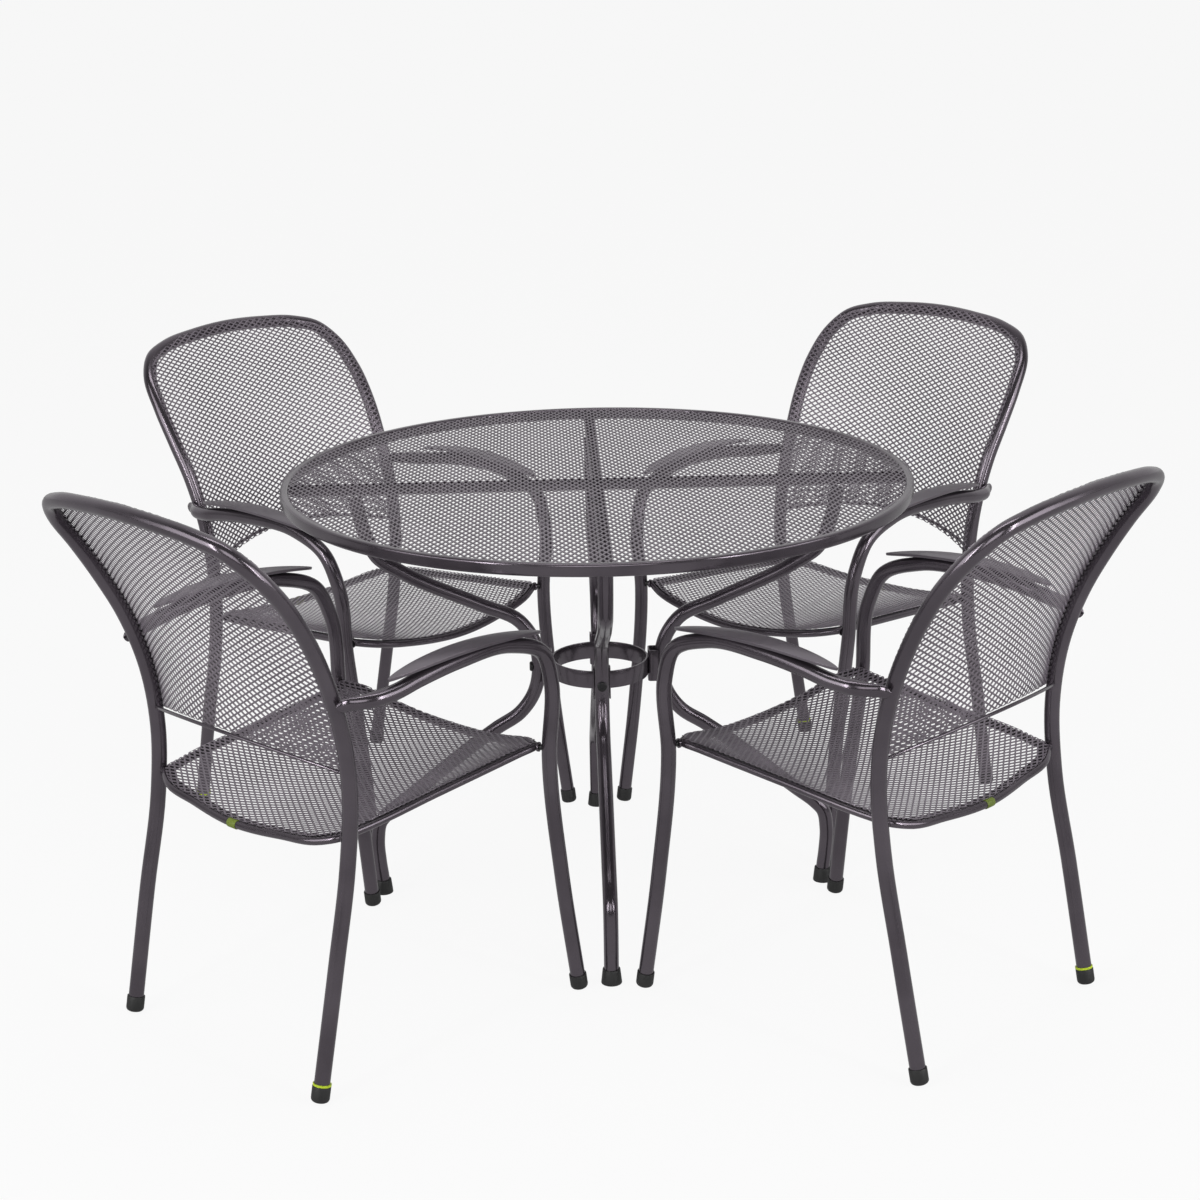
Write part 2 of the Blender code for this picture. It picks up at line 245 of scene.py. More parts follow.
# %% Smooth lines and bent tubes
def smooth_line(knots, steps, closed=False):
    """Points on a smooth line through the knots: cubic pieces with chord-length tangents."""
    knots = [Vector(k) for k in knots]
    count = len(knots)

    def tangent(i):
        before = knots[(i - 1) % count] if closed or i > 0 else knots[i]
        after = knots[(i + 1) % count] if closed or i < count - 1 else knots[i]
        near = (knots[i] - before).length
        far = (after - knots[i]).length
        if near == 0.0:
            return (after - knots[i]) / far
        if far == 0.0:
            return (knots[i] - before) / near
        slope_in = (knots[i] - before) / near
        slope_out = (after - knots[i]) / far
        return (slope_in * far + slope_out * near) / (near + far)

    line = []
    for i in range(count if closed else count - 1):
        start = knots[i]
        end = knots[(i + 1) % count]
        reach = (end - start).length
        leave = tangent(i) * reach
        arrive = tangent((i + 1) % count) * reach
        for k in range(steps):
            t = k / steps
            line.append(
                start * (2 * t**3 - 3 * t**2 + 1)
                + leave * (t**3 - 2 * t**2 + t)
                + end * (3 * t**2 - 2 * t**3)
                + arrive * (t**3 - t**2)
            )
    if not closed:
        line.append(knots[-1])
    return line


def bent_tube(name, line, radius, finish, closed=False, sides=8):
    """A round tube along the line: a curve with a round bevel, turned into a mesh."""
    bpy.ops.object.select_all(action="DESELECT")
    bpy.ops.curve.primitive_bezier_curve_add()
    piece = bpy.context.object
    curve = piece.data
    curve.splines.clear()
    path = curve.splines.new("POLY")
    path.points.add(len(line) - 1)
    for knot, place in zip(path.points, line):
        knot.co = (*place, 1.0)
    path.use_cyclic_u = closed
    curve.bevel_depth = radius
    curve.bevel_resolution = sides
    curve.use_fill_caps = not closed
    pick(piece)
    bpy.ops.object.convert(target="MESH")
    bpy.ops.object.mode_set(mode="EDIT")
    bpy.ops.mesh.select_all(action="SELECT")
    bpy.ops.mesh.remove_doubles(threshold=0.00001)
    bpy.ops.mesh.normals_make_consistent(inside=False)
    done_editing(piece, 40)
    return name_piece(piece, name, finish)


def mirrored(points):
    """The same points on the other side of the chair."""
    return [Vector((-p[0], p[1], p[2])) for p in points]


# %% [markdown]
# ## Foot caps
# Each tube stands in a moulded cap. It starts as a cylinder: the bottom edge is bevelled, and the top
# face is inset and pushed down to make the socket that the tube sits in.

# %% Foot caps
CAP_HEIGHT = 0.025
TUBE = 0.012


def foot_cap(name, ground, direction, low, high, rounding):
    """A cap in line with the leg, standing on the ground."""
    bpy.ops.object.select_all(action="DESELECT")
    bpy.ops.mesh.primitive_cone_add(
        vertices=32, radius1=low, radius2=high, depth=CAP_HEIGHT, location=(0, 0, CAP_HEIGHT / 2)
    )
    cap = bpy.context.object
    edit_faces(cap, lambda middle, normal: normal.z < -0.9)
    bpy.ops.mesh.bevel(offset=rounding, segments=4, affect="EDGES")
    bpy.ops.object.mode_set(mode="OBJECT")
    edit_faces(cap, lambda middle, normal: normal.z > 0.9)
    bpy.ops.mesh.bevel(offset=0.0008, segments=2, affect="EDGES")
    bpy.ops.object.mode_set(mode="OBJECT")
    edit_faces(cap, lambda middle, normal: normal.z > 0.9 and middle.xy.length < 0.002)
    bpy.ops.mesh.inset(thickness=high - 0.0008 - TUBE - 0.0003)
    bpy.ops.mesh.extrude_region_move(TRANSFORM_OT_translate={"value": (0, 0, -0.014)})
    bpy.ops.object.mode_set(mode="OBJECT")
    pick(cap)
    bpy.ops.object.transform_apply(location=True, rotation=True, scale=True)
    turn = Vector((0, 0, 1)).rotation_difference(direction).to_matrix().to_4x4()
    cap.data.transform(Matrix.Translation(ground) @ turn)
    lift = -min(v.co.z for v in cap.data.vertices)
    cap.data.transform(Matrix.Translation((0, 0, lift)))
    done_editing(cap, 40)
    socket = Vector(ground) + direction * 0.012 + Vector((0, 0, lift))
    return name_piece(cap, name, cap_black), socket


# %% [markdown]
# ## Expanded metal
# The sheets start as flat steel that is slit in staggered rows and stretched, so every slit opens
# into a diamond and neighbouring diamonds share a strand. The same logic makes the model: one diamond
# is inset to a frame with an open middle, two Arrays lay it out in rows, and a second set of rows,
# half a step over, closes the gaps. The two sides of each hole lie a little above and below the
# sheet, because slitting leaves every strand tilted. The flat lattice is then trimmed to its outline,
# bent to the shape of the seat or back, and given its thickness with Solidify.


# %% Expanded-metal lattice
def diamond_rows(wide, long, strand, tilt, reach_x, reach_y):
    """A flat lattice of diamonds, wide in X and long in Y, that covers the given reach."""
    bpy.ops.object.select_all(action="DESELECT")
    bpy.ops.mesh.primitive_circle_add(vertices=4, radius=0.5, fill_type="NGON")
    cell = bpy.context.object
    pick(cell)
    bpy.ops.object.mode_set(mode="EDIT")
    bpy.ops.mesh.select_all(action="SELECT")
    bpy.ops.transform.resize(value=(wide, long, 1.0))
    bpy.ops.mesh.inset(thickness=strand / 2, use_even_offset=True)
    bpy.ops.mesh.delete(type="FACE")
    bpy.ops.object.mode_set(mode="OBJECT")
    hole = max(v.co.y for v in cell.data.vertices if abs(v.co.x) < wide * 0.1 and v.co.y < long * 0.49)
    for v in cell.data.vertices:
        if abs(v.co.x) < wide * 0.1 and abs(v.co.y) < long * 0.49:
            v.co.z = tilt * v.co.y / hole
    columns = int(2 * reach_x / wide) + 3
    rows = int(2 * reach_y / long) + 3
    cell.data.transform(Matrix.Translation((-(columns - 1) * wide / 2, -(rows - 1) * long / 2, 0)))
    for count, offset in ((columns, (wide, 0, 0)), (rows, (0, long, 0))):
        apply_modifier(
            cell,
            "ARRAY",
            count=count,
            use_relative_offset=False,
            use_constant_offset=True,
            constant_offset_displace=offset,
        )
    second = cell.copy()
    second.data = cell.data.copy()
    second.data.transform(Matrix.Translation((wide / 2, long / 2, 0)))
    bpy.context.scene.collection.objects.link(second)
    join_pieces(cell, second)
    bpy.ops.object.mode_set(mode="EDIT")
    bpy.ops.mesh.select_all(action="SELECT")
    bpy.ops.mesh.remove_doubles(threshold=0.0001)
    bpy.ops.object.mode_set(mode="OBJECT")
    return cell


def expanded_sheet(name, lattice, trim, bend, thickness, finish):
    """Trim the flat lattice to an outline, bend it to its surface, and thicken it.

    trim takes a flat point and gives it back moved to the edge if it lies outside. bend takes a flat
    point and gives the place on the surface and the direction that faces out of it."""
    mesh = lattice.data
    work = bmesh.new()
    work.from_mesh(mesh)
    moved = {}
    for v in work.verts:
        x, y = trim(v.co.x, v.co.y)
        moved[v] = math.hypot(x - v.co.x, y - v.co.y) > 1e-7
        v.co.x = x
        v.co.y = y
    outside = [f for f in work.faces if all(moved[v] for v in f.verts)]
    bmesh.ops.delete(work, geom=outside, context="FACES")
    bmesh.ops.remove_doubles(work, verts=work.verts, dist=0.00008)
    bmesh.ops.dissolve_degenerate(work, edges=work.edges, dist=0.00006)
    loose = [v for v in work.verts if not v.link_faces]
    bmesh.ops.delete(work, geom=loose, context="VERTS")
    for v in work.verts:
        place, out = bend(v.co.x, v.co.y)
        v.co = Vector(place) + Vector(out).normalized() * v.co.z
    bmesh.ops.recalc_face_normals(work, faces=work.faces)
    work.to_mesh(mesh)
    work.free()
    apply_modifier(lattice, "SOLIDIFY", thickness=thickness, offset=0.0, use_even_offset=False)
    print(name, "has", len(mesh.polygons), "faces")
    return name_piece(lattice, name, finish)


# %% [markdown]
# ## The table top
# A round hoop of flat-sided section, softly rounded on top, carries a round sheet of expanded metal
# that lies just below its top edge. Its diamonds lie lengthways from front to back. The hoop
# is a small profile drawn as a face and spun round the middle.

# %% Table rim
TOP_HEIGHT = 0.740
TOP_RADIUS = 0.525
RIM_WIDTH = 0.0135
RIM_HEIGHT = 0.0205
SHEET_DROP = 0.0020
PLATE = 0.0015
GAP = 0.0003
RIM_OVERLAP = 0.0008
SHEET_LEVEL = TOP_HEIGHT - SHEET_DROP - PLATE / 2

bpy.ops.object.select_all(action="DESELECT")
bpy.ops.mesh.primitive_plane_add(
    size=1,
    location=(TOP_RADIUS - RIM_WIDTH / 2, 0, TOP_HEIGHT - RIM_HEIGHT / 2),
    rotation=(math.pi / 2, 0, 0),
)
rim = bpy.context.object
rim.scale = (RIM_WIDTH, RIM_HEIGHT, 1)
bpy.ops.object.transform_apply(location=True, rotation=True, scale=True)
bpy.context.tool_settings.mesh_select_mode = (True, False, False)
bpy.ops.object.mode_set(mode="EDIT")
bpy.ops.mesh.select_all(action="SELECT")
bpy.ops.mesh.bevel(offset=0.0042, segments=4, affect="VERTICES")
bpy.ops.mesh.spin(steps=160, angle=2 * math.pi, center=(0, 0, 0), axis=(0, 0, 1))
bpy.ops.mesh.select_all(action="SELECT")
bpy.ops.mesh.remove_doubles(threshold=0.00005)
bpy.ops.object.mode_set(mode="OBJECT")
work = bmesh.new()
work.from_mesh(rim.data)
bmesh.ops.delete(work, geom=[f for f in work.faces if len(f.verts) > 4], context="FACES_ONLY")
bmesh.ops.recalc_face_normals(work, faces=work.faces)
work.to_mesh(rim.data)
work.free()
done_editing(rim, 50)
name_piece(rim, "table_rim_hoop", tube_coat)
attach(rim, "table")
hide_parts("table_rim")
print("rim faces:", len(rim.data.polygons))

# %% Table sheet
sheet_radius = TOP_RADIUS - RIM_WIDTH + RIM_OVERLAP


def trim_round(x, y):
    distance = math.hypot(x, y)
    if distance <= sheet_radius:
        return x, y
    return x * sheet_radius / distance, y * sheet_radius / distance


def lie_flat(x, y):
    return (x, y, SHEET_LEVEL), (0, 0, 1)


lattice = diamond_rows(0.01176, 0.0233, 0.0033, 0.0004, TOP_RADIUS, TOP_RADIUS)
table_sheet = expanded_sheet("table_expanded_sheet", lattice, trim_round, lie_flat, 0.0016, mesh_coat)
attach(table_sheet, "table")
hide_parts("table_top_mesh")

# %% [markdown]
# ## The table frame
# Two tubes cross under the sheet. One runs through, and the other is cut and welded to it, which
# looks like one cross from any side. Four legs start under the ends of the cross, sweep in to a waist
# and out again to the ground, so the frame has the outline of an hourglass.

# %% Cross under the top
BAR = 0.010
bar_level = TOP_HEIGHT - SHEET_DROP - PLATE - GAP - BAR
reach = TOP_RADIUS - RIM_WIDTH - RIM_OVERLAP
cross = bent_tube("table_cross_tubes", [(-reach, 0, bar_level), (reach, 0, bar_level)], BAR, tube_coat)
other = bent_tube("cross_other", [(0, -reach, bar_level), (0, reach, bar_level)], BAR, tube_coat)
apply_modifier(cross, "BOOLEAN", operation="UNION", solver="EXACT", object=other)
bpy.data.objects.remove(other, do_unlink=True)
pick(cross)
bpy.ops.object.shade_smooth_by_angle(angle=math.radians(40))
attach(cross, "table")
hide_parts("table_crossbars")

# %% Table legs and their caps
FOOT_RADIUS = 0.385
TABLE_LEG = [
    (0.3890, 0.0580),
    (0.3905, 0.1000),
    (0.3840, 0.1320),
    (0.3700, 0.1480),
    (0.3400, 0.1720),
    (0.1770, 0.3000),
    (0.1380, 0.3260),
    (0.1140, 0.3600),
    (0.1040, 0.4100),
    (0.1120, 0.4560),
    (0.1350, 0.4900),
    (0.1980, 0.5200),
    (0.3330, 0.5830),
    (0.3710, 0.6090),
    (0.3880, 0.6450),
    (0.4035, 0.7115),
]
SIDES = (("right", 0), ("back", 90), ("left", 180), ("front", 270))

cap, socket = foot_cap("table_cap", Vector((FOOT_RADIUS, 0, 0)), Vector((0, 0, 1)), 0.0170, 0.0142, 0.0014)
knots = [socket, Vector((FOOT_RADIUS + 0.0005, 0, CAP_HEIGHT))] + [Vector((r, 0, z)) for r, z in TABLE_LEG]
leg = bent_tube("table_leg", smooth_line(knots, 7), TUBE, tube_coat)


def around(piece, name, angle, body, replaces=()):
    """A copy of a piece turned round the middle of the table, riding on its body."""
    turned = piece.copy()
    turned.data = piece.data.copy()
    turned.data.transform(Matrix.Rotation(math.radians(angle), 4, "Z"))
    bpy.context.scene.collection.objects.link(turned)
    turned.name = name
    turned.data.name = name
    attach(turned, body)
    if replaces:
        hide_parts(*replaces)
    return turned


for side, angle in SIDES:
    around(leg, f"table_leg_{side}_tube", angle, "table", [f"table_leg_{side}"])
    around(cap, f"table_cap_{side}", angle, "table", [f"table_foot_{side}"])
for piece in (leg, cap):
    bpy.data.objects.remove(piece, do_unlink=True)
print("legs stand", FOOT_RADIUS, "m from the middle")

# %% [markdown]
# ## Centre ring and saddles
# A hoop of flat bar holds the four legs together at the waist. Between the hoop and each leg sits a
# bent saddle that wraps the tube, held by one bolt with a round cap on the outside. The hoop is a
# cylinder without ends, thickened inwards. The saddle is a channel bent round the tube.

# %% Centre ring
RING_RADIUS = 0.0825
RING_LEVEL = 0.409
RING_HEIGHT = 0.030
bpy.ops.object.select_all(action="DESELECT")
bpy.ops.mesh.primitive_cylinder_add(
    vertices=96, radius=RING_RADIUS, depth=RING_HEIGHT, end_fill_type="NOTHING", location=(0, 0, RING_LEVEL)
)
ring = bpy.context.object
bpy.ops.object.transform_apply(location=True, rotation=True, scale=True)
apply_modifier(ring, "SOLIDIFY", thickness=0.0035, offset=-1.0, use_even_offset=True)
apply_modifier(ring, "BEVEL", width=0.0006, segments=2, limit_method="ANGLE", angle_limit=math.radians(50))
pick(ring)
bpy.ops.object.shade_smooth_by_angle(angle=math.radians(35))
name_piece(ring, "table_ring_band", tube_coat)
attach(ring, "table")
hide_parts("table_centre_ring")

# %% Saddles between ring and legs
WAIST = 0.1040


def saddle_channel():
    """A U of sheet steel open towards the leg, its two cheeks wrapping the tube."""
    half = TUBE + 0.0016
    front = WAIST - 0.0045
    back = RING_RADIUS + 0.0004
    bend = 0.004
    outline = [(front, -half), (back + bend, -half)]
    for k in range(1, 5):
        a = math.radians(90 * k / 4)
        outline.append((back + bend - bend * math.sin(a), -half + bend - bend * math.cos(a)))
    outline += [(x, -y) for x, y in reversed(outline)]
    mesh = bpy.data.meshes.new("saddle")
    low, high = RING_LEVEL - 0.0275, RING_LEVEL + 0.0275
    places = [(x, y, low) for x, y in outline] + [(x, y, high) for x, y in outline]
    n = len(outline)
    mesh.from_pydata(places, [], [(i, i + 1, i + 1 + n, i + n) for i in range(n - 1)])
    piece = bpy.data.objects.new("saddle", mesh)
    bpy.context.scene.collection.objects.link(piece)
    apply_modifier(piece, "SOLIDIFY", thickness=0.0024, offset=0.0, use_even_offset=True)
    apply_modifier(piece, "BEVEL", width=0.0006, segments=2, limit_method="ANGLE")
    pick(piece)
    bpy.ops.object.shade_smooth_by_angle(angle=math.radians(35))
    return name_piece(piece, "saddle", tube_coat)


def domed_bolt(name, place, direction, radius, rise):
    """A round bolt cap: a low cylinder whose outer edge is rolled over, with a shallow recess."""
    bpy.ops.object.select_all(action="DESELECT")
    bpy.ops.mesh.primitive_cylinder_add(vertices=28, radius=radius, depth=rise, location=(0, 0, rise / 2))
    bolt = bpy.context.object
    edit_faces(bolt, lambda middle, normal: normal.z > 0.9)
    bpy.ops.mesh.bevel(offset=min(rise, radius) * 0.62, segments=5, affect="EDGES")
    bpy.ops.object.mode_set(mode="OBJECT")
    edit_faces(bolt, lambda middle, normal: normal.z > 0.97 and middle.xy.length < radius * 0.2)
    bpy.ops.mesh.inset(thickness=radius * 0.10)
    bpy.ops.mesh.extrude_region_move(TRANSFORM_OT_translate={"value": (0, 0, -rise * 0.22)})
    bpy.ops.object.mode_set(mode="OBJECT")
    pick(bolt)
    bpy.ops.object.transform_apply(location=True, rotation=True, scale=True)
    turn = Vector((0, 0, 1)).rotation_difference(Vector(direction)).to_matrix().to_4x4()
    bolt.data.transform(Matrix.Translation(place) @ turn)
    done_editing(bolt, 35)
    return name_piece(bolt, name, bolt_coat)


saddle = saddle_channel()
outer_bolt = domed_bolt("bolt_out", (WAIST + TUBE - 0.0012, 0, RING_LEVEL), (1, 0, 0), 0.0085, 0.0052)
inner_bolt = domed_bolt("bolt_in", (RING_RADIUS - 0.0034, 0, RING_LEVEL), (-1, 0, 0), 0.0060, 0.0040)
for side, angle in SIDES:
    around(saddle, f"table_saddle_{side}", angle, "table")
    around(outer_bolt, f"table_ring_bolt_{side}", angle, "table")
    around(inner_bolt, f"table_ring_nut_{side}", angle, "table")
for piece in (saddle, outer_bolt, inner_bolt):
    bpy.data.objects.remove(piece, do_unlink=True)
print("ring and saddles made")

# %% [markdown]
# ## One chair
# The chair is made once, in its own frame, and copied to its four places at the end. +Y faces the
# table, +X is the sitter's right, and the origin is on the ground between the feet. One long tube
# makes both rear legs and the frame of the back. A thin rod is welded across it to hold the back's
# lower edge.

# %% Back hoop
HOOP = [
    (0.2227, -0.2619, 0.0),
    (0.2238, -0.2190, 0.2010),
    (0.2224, -0.1868, 0.3480),
    (0.2238, -0.1774, 0.4550),
    (0.2260, -0.1887, 0.5540),
    (0.2300, -0.2200, 0.6470),
    (0.2356, -0.2560, 0.7170),
    (0.2350, -0.2920, 0.7730),
    (0.2225, -0.3330, 0.8240),
    (0.1970, -0.3560, 0.8520),
    (0.1560, -0.3690, 0.8655),
    (0.0800, -0.3790, 0.8750),
    (0.0000, -0.3830, 0.8785),
]
HOOP_TOP = HOOP[-1][2]
CORNER_HEIGHT = 0.8520
ROD_REACH = 0.2245
ROD_BOW = 0.0570
ROD_HEIGHT = 0.5184
ROD_DIP = 0.0316
chair_pieces = []


def keep(piece, slot, *replaces):
    """Note a finished chair piece with its slot and the nodes it stands for."""
    chair_pieces.append((piece, slot, replaces))
    return piece


def standing_knots(name, knots):
    """A cap under the first knot, and the knots from the cap's socket upwards."""
    direction = (Vector(knots[1]) - Vector(knots[0])).normalized()
    cap, socket = foot_cap(name, Vector(knots[0]), direction, 0.0140, 0.0140, 0.0060)
    return cap, [socket] + [Vector(k) for k in knots[1:]]


cap_right, right = standing_knots("cap_rear_right", HOOP)
cap_left, left = standing_knots("cap_rear_left", mirrored(HOOP))
keep(cap_right, "cap_black", "foot_rear_right")
keep(cap_left, "cap_black", "foot_rear_left")
hoop = bent_tube("hoop_tube", smooth_line(right + list(reversed(left[:-1])), 7), TUBE, tube_coat)
rod_line = []
for i in range(41):
    u = -1.0 + 2.0 * i / 40
    rod_line.append((ROD_REACH * u, -0.2363 + ROD_BOW * u**2, ROD_HEIGHT - ROD_DIP * u**2))
rod = bent_tube("rod", rod_line, 0.0028, tube_coat, sides=4)
join_pieces(hoop, rod)
keep(hoop, "tube_coat", "back_hoop")
print("hoop faces:", len(hoop.data.polygons))

# %% [markdown]
# ## The back sheet
# The sheet lies on the front of the hoop. From the side it follows the hoop's curve, and from above
# it is bowed, deepest at the lower rod. Its diamonds lie crosswise. Its flat height is measured along
# the curve, so `height_at` turns a length along the curve back into a height.

# %% Back sheet
hoop_line = [p for p in smooth_line(HOOP, 24) if p.z > 0.45]
MESH_LIFT = 0.0007
WIDE, LONG, STRAND = 0.0157, 0.0101, 0.0027
BEND_START = 0.455
BEND_DEPTH = -0.1774
LEAN = 1.145


def hoop_depth(z):
    return BEND_DEPTH - LEAN * max(z - BEND_START, 0.0) ** 2


def curve_length(z, start=BEND_START, parts=24):
    """Length along the back's side profile from the start height up to z."""
    step = (z - start) / parts
    slopes = (2 * LEAN * (start + (k + 0.5) * step - BEND_START) for k in range(parts))
    return sum(math.hypot(1.0, slope) for slope in slopes) * step


def height_at(length):
    low, high = BEND_START, 0.95
    for _ in range(24):
        middle = (low + high) / 2
        if curve_length(middle) < length:
            low = middle
        else:
            high = middle
    return (low + high) / 2


def hoop_width(z):
    """Half the hoop's width at a height, by its centre line."""
    for a, b in zip(hoop_line, hoop_line[1:]):
        if a.z <= z <= b.z:
            return a.x + (b.x - a.x) * (z - a.z) / (b.z - a.z)
    return 0.0


def hoop_top(x):
    """Height of the hoop's centre line above a point x, along its top."""
    best = hoop_line[-1].z
    for a, b in zip(hoop_line, hoop_line[1:]):
        if b.x <= abs(x) <= a.x and a.z > 0.76:
            best = a.z + (b.z - a.z) * (a.x - abs(x)) / (a.x - b.x)
    return best


EDGE = 0.0005
heights = {}


def height_of(length):
    key = round(length, 5)
    if key not in heights:
        heights[key] = height_at(length)
    return heights[key]


def trim_back(x, s):
    length = s + BACK_MIDDLE
    z = height_of(max(length, 0.0))
    if z < CORNER_HEIGHT:
        half = hoop_width(z) + EDGE
        x = max(-half, min(half, x))
    else:
        x = max(-0.1995, min(0.1995, x))
        z = min(z, hoop_top(x) + EDGE * 0.6)
    u = x / ROD_REACH
    z = max(z, ROD_HEIGHT - ROD_DIP * u * u - 0.0030)
    return x, curve_length(z) - BACK_MIDDLE


BACK_MIDDLE = curve_length(0.68)


def bend_back(x, s):
    z = height_of(s + BACK_MIDDLE)
    half = max(hoop_width(min(z, 0.84)), 0.2)
    bow = ROD_BOW * max(1.0 - (x / half) ** 2, 0.0) * min(max((HOOP_TOP - z) / 0.36, 0.0), 1.0)
    lean = 2 * LEAN * (z - BEND_START)
    out = (TUBE + MESH_LIFT) / math.hypot(1.0, lean)
    return (x, hoop_depth(z) - bow + out, z + out * lean), (0.0, 1.0, lean)


lattice = diamond_rows(WIDE, LONG, STRAND, 0.0003, 0.245, 0.25)
back_sheet = expanded_sheet("back_expanded_sheet", lattice, trim_back, bend_back, 0.0012, mesh_coat)
keep(back_sheet, "mesh_coat", "back_mesh")

# %% [markdown]
# ## The seat
# A loop of thinner rod is bolted inside the four legs. Its front and rear rails dip in the middle,
# and the sheet that is welded on top dips with them. A flat strip under the sheet's edge stiffens it.
# Its near-black colour is painted shade: it shows through the holes as the shade under the sheet's edge.

# %% Seat loop
SEAT_ROD = 0.00625
SEAT_LOOP = [
    (0.0000, -0.2150, 0.3640),
    (0.1000, -0.2080, 0.3700),
    (0.1800, -0.1980, 0.3800),
    (0.2025, -0.1830, 0.3860),
    (0.2080, -0.1550, 0.3890),
    (0.2150, 0.0000, 0.4040),
    (0.2195, 0.1650, 0.4190),
    (0.2205, 0.2010, 0.4225),
    (0.2020, 0.2120, 0.4180),
    (0.1000, 0.2290, 0.3990),
    (0.0000, 0.2350, 0.3920),
]
loop_knots = [Vector(k) for k in SEAT_LOOP] + list(reversed(mirrored(SEAT_LOOP[1:-1])))
loop_line = smooth_line(loop_knots, 8, closed=True)
loop = bent_tube("seat_loop", loop_line, SEAT_ROD, tube_coat, closed=True, sides=6)
keep(loop, "tube_coat", "seat_frame")

# %% Seat sheet
seat_line = smooth_line(SEAT_LOOP, 24)
rear_line = [p for p in seat_line if p.y < -0.185]
fore_line = [p for p in seat_line if p.y > 0.200]
side_line = [p for p in seat_line if p.x > 0.19 and -0.192 < p.y < 0.212]


def between(line, key, value, give):
    """Linear look-up along a line of points by one coordinate."""
    pairs = sorted((key(p), give(p)) for p in line)
    if value <= pairs[0][0]:
        return pairs[0][1]
    for (a, fa), (b, fb) in zip(pairs, pairs[1:]):
        if a <= value <= b:
            return fa + (fb - fa) * (value - a) / max(b - a, 1e-9)
    return pairs[-1][1]


def trim_seat(x, y, grow=0.0006):
    half = between(side_line, lambda p: p.y, y, lambda p: p.x) + grow
    x = max(-half, min(half, x))
    rear = between(rear_line, lambda p: p.x, abs(x), lambda p: p.y) - grow
    fore = between(fore_line, lambda p: p.x, abs(x), lambda p: p.y) + grow
    return x, max(rear, min(fore, y))


def seat_height(x, y):
    """Height of the seat's own surface over the rod's centre line, before any lift."""
    middle = 0.3640 + 0.0280 * (y + 0.2150) / 0.4500
    side = 0.3885 + 0.0320 * (y + 0.1700) / 0.3700
    return middle + (side - middle) * min((x / 0.21) ** 2, 1.08)


def bend_seat(x, y):
    return (x, y, seat_height(x, y) + SEAT_ROD + 0.0020), (-0.3 * x / 0.21, -0.07, 1.0)


lattice = diamond_rows(WIDE, LONG, STRAND, -0.0003, 0.235, 0.25)
seat_sheet = expanded_sheet("seat_expanded_sheet", lattice, trim_seat, bend_seat, 0.0010, mesh_coat)
keep(seat_sheet, "mesh_coat", "seat_mesh")


# %% Strip under the edge of the seat sheet, coloured as painted shade
def edge_strip(width):
    """A flat ribbon just under the sheet, from the rod's centre line inwards, near black as painted shade."""
    outer = smooth_line(loop_knots, 6, closed=True)
    n = len(outer)
    places = []
    for i, p in enumerate(outer):
        along = outer[(i + 1) % n] - outer[i - 1]
        inward = Vector((-along.y, along.x, 0.0)).normalized()
        for share in (-0.0015, width):
            q = p + inward * share
            places.append((q.x, q.y, seat_height(q.x, q.y) + SEAT_ROD - 0.0012))
    mesh = bpy.data.meshes.new("strip")
    faces = [(2 * i, 2 * i + 1, (2 * i + 3) % (2 * n), (2 * i + 2) % (2 * n)) for i in range(n)]
    mesh.from_pydata(places, [], faces)
    piece = bpy.data.objects.new("seat_edge_strip", mesh)
    bpy.context.scene.collection.objects.link(piece)
    pick(piece)
    bpy.ops.object.mode_set(mode="EDIT")
    bpy.ops.mesh.select_all(action="SELECT")
    bpy.ops.mesh.normals_make_consistent(inside=False)
    bpy.ops.object.mode_set(mode="OBJECT")
    apply_modifier(piece, "SOLIDIFY", thickness=0.0010, offset=0.0)
    pick(piece)
    bpy.ops.object.shade_smooth_by_angle(angle=math.radians(35))
    return name_piece(piece, "seat_edge_strip", strip_finish_painted_shade)


keep(edge_strip(0.0140), "tube_coat")

# %% [markdown]
# ## The arms
# One tube makes the front leg and the arm: up from the ground, over a tight bend, and back along the
# side, where it swings in to the outside of the hoop. The last stretch is pressed to an oval so that
# it lies flat against the hoop, and its closed tip is rounded off. Scaling the last rings gives both.

# %% Arm tubes
ARM = [
    (0.2463, 0.2626, 0.0),
    (0.2388, 0.2348, 0.2056),
    (0.2438, 0.2085, 0.4111),
    (0.2542, 0.2058, 0.5344),
    (0.2605, 0.1840, 0.5850),
    (0.2637, 0.1131, 0.6167),
    (0.2700, 0.0000, 0.6225),
    (0.2715, -0.0800, 0.6155),
    (0.2705, -0.1300, 0.6075),
    (0.2615, -0.1700, 0.6040),
    (0.2500, -0.1930, 0.6030),
    (0.2456, -0.2105, 0.6025),
]
SHANK_DEPTH = -0.2035
SHANK_HEIGHT = 0.6028


def press_end(arm, line, dome=0.0085):
    """Press the last stretch of an arm to an oval, and round its tip off like a half disc."""
    for v in arm.data.vertices:
        near = min(line[-60:], key=lambda p: (p - v.co).length)
        left = (near - line[-1]).length
        t = min(max((0.060 - left) / 0.045, 0.0), 1.0)
        t = t * t * (3 - 2 * t)
        tip = math.sqrt(max(1.0 - (1.0 - left / dome) ** 2, 0.04)) if left < dome else 1.0
        if t > 0.0:
            v.co.x = near.x + (v.co.x - near.x) * (1.0 - 0.65 * t) * tip
            v.co.z = near.z + (v.co.z - near.z) * (1.0 - 0.18 * t) * tip


